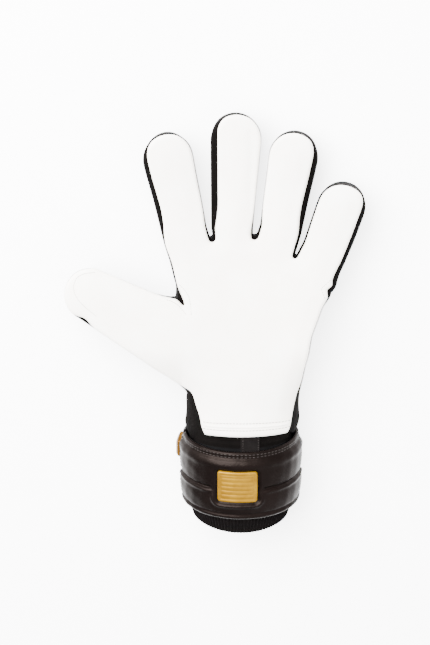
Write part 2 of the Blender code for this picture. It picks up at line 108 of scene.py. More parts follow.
def spine_tables(first, last):
    """The bent middle line of the glove, one point for each millimetre of the pattern."""
    steps = np.arange(first, last) + 0.5
    angles = bend_at(steps)
    along = PATTERN_STRETCH * np.concatenate(([0.0], np.cumsum(np.cos(angles))))
    up = PATTERN_STRETCH * np.concatenate(([0.0], np.cumsum(np.sin(angles))))
    stations = np.arange(first, last + 1)
    zero = -first
    return stations, along - along[zero], up - up[zero] + CUFF_LEVEL


SPINE_Y, SPINE_ALONG, SPINE_UP = spine_tables(-90, 250)


def bend(points):
    """Bend points along the glove's length and set them down on the table, in metres."""
    x, y, z = np.asarray(points, float).reshape(-1, 3).T
    angle = bend_at(y)
    along = np.interp(y, SPINE_Y, SPINE_ALONG) - (z - CUFF_LEVEL) * np.sin(angle)
    up = np.interp(y, SPINE_Y, SPINE_UP) + (z - CUFF_LEVEL) * np.cos(angle)
    turned = (x, along * math.cos(PITCH) - up * math.sin(PITCH),
              along * math.sin(PITCH) + up * math.cos(PITCH))
    return np.stack(turned, axis=1) * MM - ORIGIN


def hand_place(points):
    """Place points of the hand's flat pattern on the glove."""
    x, y, z = np.asarray(points, float).reshape(-1, 3).T
    offset = (x - CUFF_SHIFT) / WRIST_ROUND_WIDTH * WRIST_ROUND_FILL
    drop = WRIST_ROUND_DEPTH * (1.0 - np.sqrt(1.0 - np.minimum(offset * offset, 0.9)))
    drop *= 1.0 - smooth(*WRIST_ROUND_FADE, y)
    depth = np.interp(y, DEPTH_Y, DEPTH) - THUMB_THINNER * smooth(*THUMB_THIN, -x)
    palm_inner = -drop - LAYER_ZONE
    back_inner = -depth + drop + LAYER_ZONE
    share = (-LAYER_ZONE - z) / (PATTERN_DEPTH - 2.0 * LAYER_ZONE)
    level = palm_inner + share * (back_inner - palm_inner)
    level = np.where(z >= -LAYER_ZONE, z - drop, level)
    level = np.where(z <= LAYER_ZONE - PATTERN_DEPTH, back_inner + z + PATTERN_DEPTH - LAYER_ZONE, level)
    cup = CUP_ANGLE * smooth(*CUP_FADE, y)
    across = (x - CUP_CENTRE) / CUP_WIDTH
    slope = cup * np.tanh(across)
    rise = cup * CUP_WIDTH * np.log(np.cosh(across))
    return bend(np.stack((x - level * np.sin(slope), y, rise + level * np.cos(slope)), axis=1))


def cuff_place(points):
    """Place points of the cuff: x and z about the middle of the wrist, and y along it."""
    return bend(np.asarray(points, float).reshape(-1, 3) + (CUFF_SHIFT, 0.0, CUFF_LEVEL))


def strap_place(points):
    """Wrap points of a flat strap round the cuff: u from the middle of the palm side, y, layer."""
    u, y, layer = np.asarray(points, float).reshape(-1, 3).T
    turn = math.pi / 2 - u / STRAP_RADIUS
    x = (CUFF_HALF_WIDTH + layer) * np.cos(turn)
    z = (CUFF_HALF_DEPTH + layer) * np.sin(turn)
    return cuff_place(np.stack((x, y, z), axis=1))


class Digit:
    """A finger or thumb of the pattern, as the CAD model has it."""

    def __init__(self, base, aim, hinge_line, half_base, half_tip, second, reach):
        self.base = np.array(base)
        self.aim = math.radians(aim)
        self.along = np.array((math.cos(self.aim), math.sin(self.aim)))
        self.side = np.array((self.along[1], -self.along[0]))
        angle = math.radians(hinge_line)
        self.hinge = np.array((math.cos(angle), math.sin(angle)))
        self.forward = np.array((-self.hinge[1], self.hinge[0]))
        self.half_base = half_base
        self.half_tip = half_tip
        self.second = second
        self.reach = reach
        self.tip_centre = self.base + reach * self.along

    def edge(self, side, distance, inset=0.0):
        """A point on one edge, -1 the thumb side or 1 the other, at a distance along the digit."""
        share = distance / self.reach
        half = self.half_base[0] if side < 0 else self.half_base[1]
        width = half + share * (self.half_tip - half) - inset
        return self.base + distance * self.along + side * width * self.side

    def ahead(self, distance):
        """The point ahead of the base hinge by a distance square to the hinge line."""
        return self.base + distance * self.forward


DIGITS = {
    "thumb": Digit((-59.5, 73.0), 154.2, 64.2, (25.0, 20.0), 17.4, 34.0, 53.0),
    "index": Digit((-39.4, 134.0), 101.8, 0.0, (15.3, 15.3), 17.2, 37.0, 59.7),
    "middle": Digit((-7.6, 136.0), 87.9, -3.0, (14.0, 13.6), 17.0, 40.0, 68.8),
    "ring": Digit((25.3, 136.0), 81.2, 1.0, (14.0, 14.0), 16.6, 36.0, 57.7),
    "little": Digit((55.4, 122.0), 71.0, -8.0, (16.0, 16.0), 16.6, 24.0, 37.9),
}
# How wide the black gusset shows beside each digit: thumb side, other side and tip.
GUSSET_SHOWS = {"thumb": (0.2, -0.4, -0.4), "index": (3.4, 0.8, -0.3), "middle": (4.4, 0.3, -0.3),
                "ring": (0.2, 3.8, -0.3), "little": (1.2, 3.2, -0.3)}
# The same at the bottom of each digit's edges.
BASE_SHOWS = {"thumb": (0.2, -0.7), "index": (0.4, 1.5), "middle": (1.7, 1.5), "ring": (1.5, 1.7),
              "little": (1.5, 3.0)}
# The sewn cover stands this far outside the CAD walls.
COVER_PROUD = 0.3
CROTCHES = {"ring_little": ((36.2, 121.8), 2.2), "middle_ring": ((8.0, 136.6), 2.8),
            "index_middle": ((-21.7, 135.2), 2.7)}
CROTCH_GUSSET = 1.7
# Two places past each digit's base hinge; the knuckle piece is cut from the hand at the first.
KNUCKLE_ZONE = {"thumb": (-5.0, 9.0), "index": (-1.5, 9.0), "middle": (-3.0, 9.0),
                "ring": (-3.0, 9.0), "little": (-3.0, 7.0)}
MIDDLE_ZONE = 7.0
WRIST_ZONE = (12.0, -7.0)


def edge_run(name, side, start, stop):
    """Points along one edge of a digit's latex, each with the width of gusset that shows."""
    digit = DIGITS[name]
    full = GUSSET_SHOWS[name][0 if side < 0 else 1]
    near = BASE_SHOWS[name][0 if side < 0 else 1]
    run = []
    for distance in np.linspace(start, stop, 9):
        show = near + (full - near) * float(smooth(0.0, 22.0, distance))
        point = digit.edge(side, distance, show - COVER_PROUD)
        run.append((point[0], point[1], show))
    return run


def tip_run(name):
    """The round tip of a digit's latex, from its far side to its thumb side."""
    digit = DIGITS[name]
    left, right, tip = GUSSET_SHOWS[name]
    run = []
    for turn in np.linspace(-90.0, 90.0, 19)[1:-1]:
        side_show = right if turn < 0 else left
        show = tip + (side_show - tip) * float(smooth(25.0, 90.0, abs(turn)))
        angle = digit.aim + math.radians(turn)
        radius = digit.half_tip + COVER_PROUD - show
        centre = digit.tip_centre
        run.append((centre[0] + radius * math.cos(angle), centre[1] + radius * math.sin(angle), show))
    return run


def crotch_run(name):
    """The round bottom between two fingers, from the little-finger side."""
    (x, y), radius = CROTCHES[name]
    run = []
    for turn in np.radians(np.linspace(0.0, -180.0, 7)):
        run.append((x + radius * math.cos(turn), y + radius * math.sin(turn), CROTCH_GUSSET))
    return run


# The latex's edge at the hand's own sides: x, y and the width of gusset that shows.
LITTLE_EDGE = ((32.4, HEM_END, 7.4), (34.4, 4.4, 7.0), (35.2, 8.6, 6.4), (36.6, 18.0, 3.4),
               (38.0, 26.0, 2.0), (40.4, 33.0, 0.8), (43.0, 44.0, 0.4), (45.9, 54.0, 0.4),
               (48.0, 66.5, 0.4), (52.0, 77.0, 0.4), (55.4, 86.6, 0.4), (59.6, 93.6, 1.2),
               (58.4, 98.8, 4.4), (62.6, 101.4, 2.6), (62.2, 105.4, 3.6), (64.6, 111.0, 3.2))
INDEX_EDGE = ((-49.8, 117.0, 0.9), (-46.8, 104.0, 0.6), (-45.2, 98.8, 0.5))
THUMB_CROTCH = ((-42.8, 94.0, 3.2), (-40.6, 87.8, 6.6), (-42.2, 87.6, 6.4), (-46.4, 92.4, -0.4),
                (-52.0, 93.6, -0.7))
THUMB_EDGE = ((-64.4, 46.0, 0.2), (-53.0, 38.4, 0.2), (-46.5, 33.8, 0.2), (-41.5, 30.6, 1.2),
              (-37.0, 28.4, 3.0), (-35.0, 25.5, 4.8), (-33.0, 17.5, 7.2), (-30.4, 9.0, 11.6),
              (-29.6, 4.8, 12.4), (-27.2, HEM_END, 12.6))


def latex_edge():
    """The white latex's edge, from the wrist's right corner round to its left, with gusset widths."""
    run = list(LITTLE_EDGE)
    names = ("little", "ring", "middle", "index")
    crotches = tuple(CROTCHES)
    for position, name in enumerate(names):
        digit = DIGITS[name]
        run += edge_run(name, 1, 6.0 if position else 0.0, digit.reach)
        run += tip_run(name)
        run += edge_run(name, -1, digit.reach, 6.0 if position < len(crotches) else 0.0)
        if position < len(crotches):
            run += crotch_run(crotches[position])
    run += list(INDEX_EDGE)
    run += list(THUMB_CROTCH)
    thumb = DIGITS["thumb"]
    run += edge_run("thumb", 1, 9.0, thumb.reach) + tip_run("thumb")
    run += edge_run("thumb", -1, thumb.reach, 2.0)
    return np.array(run + list(THUMB_EDGE), float)


def resample(run, spacing):
    """The run again with evenly spaced points."""
    lengths = np.concatenate(([0.0], np.cumsum(np.linalg.norm(np.diff(run[:, :2], axis=0), axis=1))))
    count = int(lengths[-1] / spacing)
    places = np.linspace(0.0, lengths[-1], count + 1)
    return np.stack([np.interp(places, lengths, run[:, k]) for k in range(run.shape[1])], axis=1)


def soften(run, sigma, spacing):
    """Round off the corners of a run of evenly spaced points, keeping its ends."""
    reach = int(3 * sigma / spacing)
    weights = np.exp(-0.5 * (np.arange(-reach, reach + 1) * spacing / sigma) ** 2)
    weights /= weights.sum()
    ahead = 2 * run[0] - run[reach:0:-1]
    behind = 2 * run[-1] - run[-2:-reach - 2:-1]
    padded = np.concatenate((ahead, run, behind))
    return np.stack([np.convolve(padded[:, k], weights, "valid") for k in range(run.shape[1])], axis=1)


def outward_normals(run):
    """Unit normals to the right of a run of points, which is outside the hand."""
    tangent = np.gradient(run[:, :2], axis=0)
    tangent /= np.linalg.norm(tangent, axis=1)[:, None]
    return np.stack((tangent[:, 1], -tangent[:, 0]), axis=1)


EDGE_SPACING = 1.3
EDGE = soften(resample(latex_edge(), EDGE_SPACING), 1.3, EDGE_SPACING)
EDGE_NORMAL = outward_normals(EDGE)
# Beside the thumb's tip the latex draws back and a sliver of gusset shows.
THUMB_SLIVER = (-111.0, 80.0)
SLIVER_REACH = 6.0
SLIVER_WIDTH = 2.4
sliver = SLIVER_WIDTH * bell(np.linalg.norm(EDGE[:, :2] - THUMB_SLIVER, axis=1), SLIVER_REACH)
EDGE[:, :2] -= sliver[:, None] * EDGE_NORMAL
EDGE[:, 2] += sliver
SILHOUETTE = EDGE[:, :2] + EDGE[:, 2:3] * EDGE_NORMAL


def closed_loop(run, normals):
    """A run with its wrist end closed by evenly spaced points, and the outward normals of both."""
    across = np.linspace(run[-1], run[0], int(np.linalg.norm(run[0] - run[-1]) / EDGE_SPACING))[1:-1]
    down = np.tile((0.0, -1.0), (len(across), 1))
    return np.concatenate((run, across)), np.concatenate((normals, down))


def distance_to(points, run):
    """Distance of each point from a run of points, by its segments."""
    start, stop = run[:-1], run[1:]
    step = stop - start
    square = (step * step).sum(axis=1) + 1e-12
    result = np.full(len(points), 1e9)
    for part in np.array_split(np.arange(len(points)), max(1, len(points) // 1500)):
        away = points[part][:, None, :] - start[None]
        share = np.clip((away * step).sum(axis=2) / square, 0.0, 1.0)
        gap = away - share[..., None] * step
        result[part] = np.sqrt((gap * gap).sum(axis=2).min(axis=1))
    return result


def inside(points, loop):
    """Which points are inside a closed loop."""
    hit = np.zeros(len(points), bool)
    x, y = points.T
    previous = loop[-1]
    for corner in loop:
        crosses = (corner[1] > y) != (previous[1] > y)
        if crosses.any():
            rise = previous[1] - corner[1]
            at = corner[0] + (previous[0] - corner[0]) * (y - corner[1]) / (rise if rise else 1e-12)
            hit ^= crosses & (x < at)
        previous = corner
    return hit


def fill(loop, rings, spacing):
    """Mesh the inside of a loop, with rings of points near its edge and a grid farther in."""
    closed = np.concatenate((loop, loop[:1]))
    tangent = np.roll(loop, -1, axis=0) - np.roll(loop, 1, axis=0)
    tangent /= np.linalg.norm(tangent, axis=1)[:, None]
    inward = np.stack((-tangent[:, 1], tangent[:, 0]), axis=1)
    extra = []
    for ring in rings:
        moved = loop + ring * inward
        extra.append(moved[distance_to(moved, closed) > ring * 0.93])
    low, high = loop.min(axis=0), loop.max(axis=0)
    grid = np.stack(np.meshgrid(np.arange(low[0], high[0], spacing),
                                np.arange(low[1], high[1], spacing)), axis=-1).reshape(-1, 2)
    grid[:, 0] += 0.5 * spacing * (np.round((grid[:, 1] - low[1]) / spacing) % 2)
    grid = grid[inside(grid, loop)]
    extra.append(grid[distance_to(grid, closed) > rings[-1] + 0.6 * spacing])
    points = np.concatenate([loop] + extra)
    edges = [(index, (index + 1) % len(loop)) for index in range(len(loop))]
    made = delaunay_2d_cdt([Vector(p) for p in points], edges, [], 1, 1e-5)
    flat = np.array([tuple(p) for p in made[0]])
    faces = [tuple(face) for face in made[2]]
    found = {source: index for index, sources in enumerate(made[3]) for source in sources}
    rim = [found[index] for index in range(len(loop))]
    return flat, faces, distance_to(flat, closed), rim


def ripple(points, size, amount):
    """Soft unevenness of sewn cloth: a few crossing waves of about one size."""
    x, y = points[:, 0], points[:, 1]
    total = np.zeros(len(points))
    for index, turn in enumerate((0.3, 1.1, 1.9, 2.6)):
        wave = 2 * math.pi / (size * (1.0 + 0.37 * index))
        total += np.sin(wave * (x * math.cos(turn) + y * math.sin(turn)) + 1.7 * index)
    return amount * total / 4.0


HEEL = 2 * len(DIGITS) + 1


def group_of(points):
    """Which piece each point belongs to: 0 the hand, two for each digit, and last the heel."""
    group = np.zeros(len(points), int)
    group[points[:, 1] < PALM_START] = HEEL
    for index, (name, digit) in enumerate(DIGITS.items()):
        start = KNUCKLE_ZONE[name][0]
        half_way = 0.5 * (digit.second * abs(digit.along @ digit.forward))
        away = points - digit.base
        ahead = away @ digit.forward
        across = np.abs(away @ digit.side)
        mine = (ahead > start) & (across < digit.half_tip + 9.0)
        if name != "thumb":
            nearest = np.argmin([np.abs((points - other.base) @ other.side)
                                 for key, other in DIGITS.items() if key != "thumb"], axis=0)
            mine &= nearest == index - 1
            mine &= points[:, 0] > -75.0
        group[mine] = 1 + 2 * index
        group[mine & (ahead > half_way)] = 2 + 2 * index
    return group


def stretched_sheet(piece):
    """Does nothing: the piece is not declared as stretched cloth."""


def mesh_object(name, vertices, faces, material):
    """A smooth mesh object from arrays of points and faces."""
    mesh = bpy.data.meshes.new(name)
    mesh.from_pydata([tuple(v) for v in vertices], [], [tuple(f) for f in faces])
    mesh.update()
    mesh.shade_smooth()
    mesh.materials.append(material)
    piece = bpy.data.objects.new(name, mesh)
    bpy.context.scene.collection.objects.link(piece)
    return piece


def vertex_normals(vertices, faces):
    """Area-weighted normals of a mesh of triangles and quads."""
    normals = np.zeros_like(vertices)
    for face in faces:
        corners = vertices[list(face)]
        turn = np.cross(corners[1] - corners[0], corners[2] - corners[0])
        if len(face) == 4:
            turn = turn + np.cross(corners[2] - corners[0], corners[3] - corners[0])
        for corner in face:
            normals[corner] += turn
    return normals / np.maximum(np.linalg.norm(normals, axis=1)[:, None], 1e-12)


def split_pieces(label, flat, vertices, faces, material, stands_for, declare):
    """Cut a shell of the hand into pieces at the knuckles and finger joints."""
    normals = vertex_normals(vertices, faces)
    centres = np.array([flat[list(face)].mean(axis=0) for face in faces])
    group = group_of(centres)
    for index in range(HEEL + 1):
        chosen = [face for face, own in zip(faces, group) if own == index]
        used = np.unique(np.array([corner for face in chosen for corner in face]))
        renumber = {old: new for new, old in enumerate(used)}
        local = [tuple(renumber[corner] for corner in face) for face in chosen]
        digit_name = {0: "hand", HEEL: "heel"}.get(index) or list(DIGITS)[(index - 1) // 2]
        part = "" if index in (0, HEEL) else ("_knuckle" if index % 2 else "_finger")
        piece = mesh_object(f"{digit_name}{part}_{label}", vertices[used], local, material)
        piece.data.normals_split_custom_set_from_vertices([tuple(n) for n in normals[used]])
        hang(piece, index, digit_name)
        nodes = stands_for(digit_name, index)
        if nodes:
            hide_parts(*nodes)
        declare(piece)


def flex(piece):
    """Bake a piece of the wrist, between the hand and the cuff, into its place; it is not bent."""
    start, end = (hand_place((0.0, y, CUFF_LEVEL))[0] for y in WRIST_ZONE)
    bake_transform(piece)


WRIST = "between the hand and the cuff"


def attach(piece, body, slot, *nodes):
    """Ride a piece on a body, or fix it in place at the wrist, and hide the nodes it replaces; slot is
    not used.
    """
    if body == WRIST:
        flex(piece)
    else:
        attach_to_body(piece, body)
    if nodes:
        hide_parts(*nodes)


def hang(piece, index, digit_name):
    """Ride a piece of the hand on the hand's body, or fix it in place as it stands."""
    if index == 0:
        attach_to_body(piece, "hand")
        return
    if index == HEEL:
        flex(piece)
        return
    digit = DIGITS[digit_name]
    if index % 2:
        span = KNUCKLE_ZONE[digit_name]
    else:
        middle = digit.second * abs(digit.along @ digit.forward)
        span = (middle - MIDDLE_ZONE, middle + MIDDLE_ZONE)
    start, end = (hand_place((*digit.ahead(distance), HINGE_LEVEL))[0] for distance in span)
    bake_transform(piece)


# --- Materials -------------------------------------------------------------------------------------

def new_material(name, colour, roughness, **sockets):
    """A Principled material with its constant sockets set."""
    material = bpy.data.materials.new(name)
    material.use_nodes = True
    shader = material.node_tree.nodes["Principled BSDF"]
    shader.inputs["Base Color"].default_value = (*colour, 1.0)
    shader.inputs["Roughness"].default_value = roughness
    for socket, value in sockets.items():
        shader.inputs[socket.replace("_", " ")].default_value = value
    return material, material.node_tree, shader


def add_node(tree, kind, **settings):
    """A new node with its sockets and properties set by name."""
    node = tree.nodes.new(kind)
    for key, value in settings.items():
        if key in node.inputs:
            node.inputs[key].default_value = value
        else:
            setattr(node, key, value)
    return node


def position(tree):
    """The surface's own place, as texture coordinates."""
    return add_node(tree, "ShaderNodeTexCoord").outputs["Object"]


def noise(tree, scale, detail=4.0, roughness=0.55):
    node = add_node(tree, "ShaderNodeTexNoise", Scale=scale, Detail=detail, Roughness=roughness)
    tree.links.new(position(tree), node.inputs["Vector"])
    return node.outputs["Fac"]


def ramp(tree, source, low, high, colour_low, colour_high):
    node = add_node(tree, "ShaderNodeValToRGB")
    node.color_ramp.elements[0].position = low
    node.color_ramp.elements[1].position = high
    node.color_ramp.elements[0].color = (*colour_low, 1.0)
    node.color_ramp.elements[1].color = (*colour_high, 1.0)
    tree.links.new(source, node.inputs["Fac"])
    return node.outputs["Color"]


def to_range(tree, source, low, high):
    node = add_node(tree, "ShaderNodeMapRange")
    node.inputs["To Min"].default_value = low
    node.inputs["To Max"].default_value = high
    tree.links.new(source, node.inputs["Value"])
    return node.outputs["Result"]


def bump(tree, shader, heights):
    """Chain bumps, each a (height, strength, distance), into the shader's normal."""
    previous = None
    for height, strength, distance in heights:
        node = add_node(tree, "ShaderNodeBump", Strength=strength, Distance=distance)
        tree.links.new(height, node.inputs["Height"])
        if previous is not None:
            tree.links.new(previous, node.inputs["Normal"])
        previous = node.outputs["Normal"]
    tree.links.new(previous, shader.inputs["Normal"])


def waves(tree, scale, direction, profile="SIN", distortion=0.0):
    node = add_node(tree, "ShaderNodeTexWave", wave_type="BANDS", bands_direction=direction,
                    wave_profile=profile, Scale=scale, Distortion=distortion)
    node.inputs["Detail Scale"].default_value = 2.0
    tree.links.new(position(tree), node.inputs["Vector"])
    return node.outputs["Fac"]


def combine(tree, first, second, operation):
    node = add_node(tree, "ShaderNodeMath", operation=operation)
    tree.links.new(first, node.inputs[0])
    tree.links.new(second, node.inputs[1])
    return node.outputs[0]


def latex_material():
    """Soft white foam: fine open cells, faint uneven tint and a dusting of wear."""
    material, tree, shader = new_material("latex_foam", (0.93, 0.91, 0.87), 0.72,
                                          Sheen_Weight=0.1, Sheen_Roughness=0.6, Specular_IOR_Level=0.3)
    tint = ramp(tree, noise(tree, 38.0, 5.0), 0.35, 0.7, (0.92, 0.87, 0.80), (0.96, 0.93, 0.88))
    tree.links.new(tint, shader.inputs["Base Color"])
    tree.links.new(to_range(tree, noise(tree, 60.0), 0.62, 0.85), shader.inputs["Roughness"])
    cells = add_node(tree, "ShaderNodeTexVoronoi", Scale=900.0)
    tree.links.new(position(tree), cells.inputs["Vector"])
    bump(tree, shader, [(cells.outputs["Distance"], 0.16, 0.0004), (noise(tree, 160.0), 0.10, 0.0006)])
    return material


def knit_material(name, colour, pitch, amount=0.5):
    """Fine stretch knit: crossing ribs of yarn with a dull sheen."""
    material, tree, shader = new_material(name, colour, 0.85, Sheen_Weight=0.008, Sheen_Roughness=0.45,
                                          Specular_IOR_Level=0.02)
    shader.inputs["Sheen Tint"].default_value = (0.5, 0.46, 0.45, 1.0)
    tint = ramp(tree, noise(tree, 70.0, 5.0), 0.3, 0.75, [0.7 * c for c in colour],
                [1.5 * c for c in colour])
    tree.links.new(tint, shader.inputs["Base Color"])
    weave = combine(tree, waves(tree, pitch, "X"), waves(tree, pitch * 0.8, "Y"), "MULTIPLY")
    bump(tree, shader, [(weave, amount, 0.0004), (noise(tree, 1400.0, 2.0), 0.25, 0.0002)])
    return material


def leather_material(name, colour):
    """Smooth synthetic leather: pebbled grain, satin coat and lighter rubbed patches."""
    material, tree, shader = new_material(name, colour, 0.36, Specular_IOR_Level=0.05)
    shader.inputs["Specular Tint"].default_value = (1.0, 0.80, 0.72, 1.0)
    tint = ramp(tree, noise(tree, 45.0, 6.0), 0.35, 0.8, [0.85 * c for c in colour],
                [1.7 * c for c in colour])
    tree.links.new(tint, shader.inputs["Base Color"])
    tree.links.new(to_range(tree, noise(tree, 90.0, 6.0), 0.30, 0.44), shader.inputs["Roughness"])
    grain = add_node(tree, "ShaderNodeTexVoronoi", Scale=1300.0, feature="SMOOTH_F1")
    tree.links.new(position(tree), grain.inputs["Vector"])
    bump(tree, shader, [(grain.outputs["Distance"], 0.22, 0.0003), (noise(tree, 300.0), 0.15, 0.0004)])
    return material


def gold_material(name, low, high):
    """Moulded rubber with a metallic print, a little scuffed."""
    material, tree, shader = new_material(name, low, 0.36, Metallic=0.4, Specular_IOR_Level=0.12)
    tint = ramp(tree, noise(tree, 120.0, 6.0), 0.35, 0.75, low, high)
    tree.links.new(tint, shader.inputs["Base Color"])
    tree.links.new(to_range(tree, noise(tree, 200.0, 6.0), 0.28, 0.50), shader.inputs["Roughness"])
    bump(tree, shader, [(noise(tree, 900.0, 3.0), 0.12, 0.0002)])
    return material


def thread_material(name, colour):
    material, tree, shader = new_material(name, colour, 0.6, Specular_IOR_Level=0.2)
    tint = ramp(tree, noise(tree, 500.0), 0.3, 0.7, [0.8 * c for c in colour], colour)
    tree.links.new(tint, shader.inputs["Base Color"])
    bump(tree, shader, [(waves(tree, 900.0, "DIAGONAL"), 0.3, 0.0002)])
    return material


def pile_material(name, colour, scale):
    """Short looped or hooked pile."""
    material, tree, shader = new_material(name, colour, 0.95, Sheen_Weight=0.05)
    tint = ramp(tree, noise(tree, scale, 3.0), 0.35, 0.65, [0.5 * c for c in colour],
                [2.0 * c for c in colour])
    tree.links.new(tint, shader.inputs["Base Color"])
    bump(tree, shader, [(noise(tree, scale, 3.0), 0.9, 0.0008)])
    return material


LATEX = latex_material()
KNIT = knit_material("gusset_knit", (0.0014, 0.0011, 0.0010), 260.0)
BACK_KNIT = knit_material("back_knit", (0.0020, 0.0017, 0.0017), 180.0, 0.7)
RIB = knit_material("rib_knit", (0.0021, 0.0016, 0.0016), 300.0, 0.6)
LEATHER = leather_material("strap_leather", (0.0015, 0.0009, 0.0008))
GOLD = gold_material("gold_rubber", (0.125, 0.060, 0.0012), (0.185, 0.098, 0.003))
BRONZE = gold_material("bronze_rubber", (0.062, 0.025, 0.001), (0.10, 0.045, 0.002))
GREY_THREAD = thread_material("grey_thread", (0.016, 0.013, 0.012))
PILE = pile_material("fastener_pile", (0.006, 0.006, 0.0062), 1500.0)
LINING = knit_material("lining_cloth", (0.0022, 0.0021, 0.0022), 220.0, 0.3)
WOVEN = knit_material("woven_strip_cloth", (0.0040, 0.0034, 0.0033), 500.0, 0.8)
SEAM_THREAD = thread_material("seam_thread", (0.13, 0.10, 0.065))


# --- The hand --------------------------------------------------------------------------------------

def digit_nodes(digit, *kinds):
    return [f"{digit}_{kind}" for kind in kinds]


def latex_nodes(digit, index):
    if index in (0, HEEL):
        return ["palm_hem"] if index else ["palm_latex"]
    return digit_nodes(digit, "lower_pad") if index % 2 else digit_nodes(digit, "tip_pad")


def gusset_nodes(digit, index):
    if index == 0:
        return ["little_side_gusset", "thumb_side_gusset", "thumb_crotch_gusset", "index_middle_gusset",
                "middle_ring_gusset", "ring_little_gusset", "palm_lining", "back_lining"]
    if index == HEEL:
        return ["little_wrist_panel", "thumb_wrist_panel"]
    if index % 2:
        return digit_nodes(digit, "inner_gusset", "outer_gusset")
    return digit_nodes(digit, "tip_gusset")


def back_nodes(digit, index):
    if index in (0, HEEL):
        return [] if index else ["backhand"]
    return digit_nodes(digit, "lower_back") if index % 2 else digit_nodes(digit, "tip_back")


LATEX_ROUND = 2.6
LATEX_CROWN = 1.5
LATEX_CROWN_REACH = 12.0
HEM_LIFT = 2.6
# A soft crease runs down the middle finger beside its seam.
CREASE = np.array(((4.5, 138.5), (5.0, 170.0), (5.4, 192.0), (4.2, 211.0)))
CREASE_DEPTH = 0.5
CREASE_WIDTH = 1.8
# The latex's side wall: how far in from the edge, and at what level.
LATEX_SIDE = ((0.15, -4.2), (0.6, -5.0))


def latex_height(flat, gap):
    """How far the outer face of the white latex stands from its flat level."""
    rolled = np.clip(gap / LATEX_ROUND, 0.0, 1.0)
    height = LATEX_ROUND * (np.sqrt(1.0 - (1.0 - rolled) ** 2) - 1.0)
    height -= LATEX_CROWN * (1.0 - smooth(0.0, LATEX_CROWN_REACH, gap))
    height += 0.5 * LATEX_CROWN + ripple(flat, 26.0, 0.35) * smooth(0.0, 8.0, gap)
    height += HEM_LIFT * (1.0 - smooth(-2.0, 16.0, flat[:, 1]))
    return height - CREASE_DEPTH * bell(distance_to(flat, CREASE), CREASE_WIDTH)


def latex_shell():
    """The white palm and finger faces: one crowned sheet of foam with a rolled edge."""
    loop, normals = closed_loop(EDGE[:, :2], EDGE_NORMAL)
    flat, faces, gap, rim = fill(loop, (0.25, 0.8, 1.6, 2.7, 4.2, 5.8), 2.0)
    top = np.column_stack((flat, latex_height(flat, gap)))
    side_points, side_faces = [], []
    count = len(loop)
    previous = rim
    for inset, level in LATEX_SIDE:
        base = len(top) + len(side_points)
        for point, normal in zip(loop, normals):
            side_points.append((*(point - inset * normal), level))
        row = list(range(base, base + count))
        for index in range(count):
            after = (index + 1) % count
            side_faces.append((previous[index], row[index], row[after], previous[after]))
        previous = row
    everything = np.concatenate((top, np.array(side_points)))
    split_pieces("latex", everything[:, :2], hand_place(everything), faces + side_faces, LATEX,
                 latex_nodes, lambda piece: piece)


BACK_INSET = 1.3
# The gusset's section: how far out from the latex edge, as a share of its width plus millimetres,
# and how deep.
GUSSET_SECTION = ((0.0, -0.9, -4.6), (0.12, 0.0, -4.9), (0.45, 0.0, -5.3), (0.8, 0.0, -6.6),
                  (1.0, 0.0, -9.0), (1.0, -0.2, -14.0), (1.0, -0.6, -21.0), (1.0, -0.9, -29.0),
                  (1.0, -1.1, -36.0), (1.0, -BACK_INSET, -42.0))


def gusset_shell():
    """The black strips between the latex and the back, all round the hand."""
    rows = []
    for share, proud, level in GUSSET_SECTION:
        outward = share * EDGE[:, 2] + proud
        points = EDGE[:, :2] + outward[:, None] * EDGE_NORMAL
        rows.append(np.column_stack((points, np.full(len(points), level))))
    count = len(EDGE)
    points = np.concatenate(rows)
    faces = []
    for row in range(len(rows) - 1):
        for index in range(count - 1):
            first = row * count + index
            faces.append((first, first + count, first + count + 1, first + 1))
    flat = np.tile(EDGE[:, :2], (len(rows), 1))
    split_pieces("gusset", flat, hand_place(points), faces, KNIT, gusset_nodes,
                 lambda piece: stretched_sheet(piece))


BACK_ROUND = 11.0
BACK_LIFT = 8.0


def back_shell():
    """The back of the hand and fingers, rounded down to the gussets."""
    outline = SILHOUETTE - BACK_INSET * EDGE_NORMAL
    loop, _ = closed_loop(outline, EDGE_NORMAL)
    flat, faces, _, _ = fill(loop, (0.4, 1.4, 3.0, 5.2, 8.0), 3.0)
    side_gap = distance_to(flat, outline)
    rolled = np.clip(side_gap / BACK_ROUND, 0.0, 1.0)
    height = -PATTERN_DEPTH + BACK_LIFT * (1.0 - np.sqrt(1.0 - (1.0 - rolled) ** 2))
    height += ripple(flat, 30.0, 0.6) * smooth(2.0, 10.0, side_gap)
    faces = [face[::-1] for face in faces]
    split_pieces("back", flat, hand_place(np.column_stack((flat, height))), faces, BACK_KNIT,
                 back_nodes, lambda piece: stretched_sheet(piece))


latex_shell()
gusset_shell()
back_shell()


# --- Threads ---------------------------------------------------------------------------------------

# A stitch's cross-sections: place along its length, and width.
STITCH_RINGS = ((-0.5, 0.35), (-0.32, 0.85), (0.0, 1.0), (0.32, 0.85), (0.5, 0.35))


def frames_along(path):
    """Unit tangents and sideways directions along a path of (x, y, level) points."""
    tangent = np.gradient(path, axis=0)
    tangent /= np.linalg.norm(tangent, axis=1)[:, None]
    side = np.cross(tangent, (0.0, 0.0, 1.0))
    side /= np.linalg.norm(side, axis=1)[:, None]
    return tangent, side, np.cross(side, tangent)


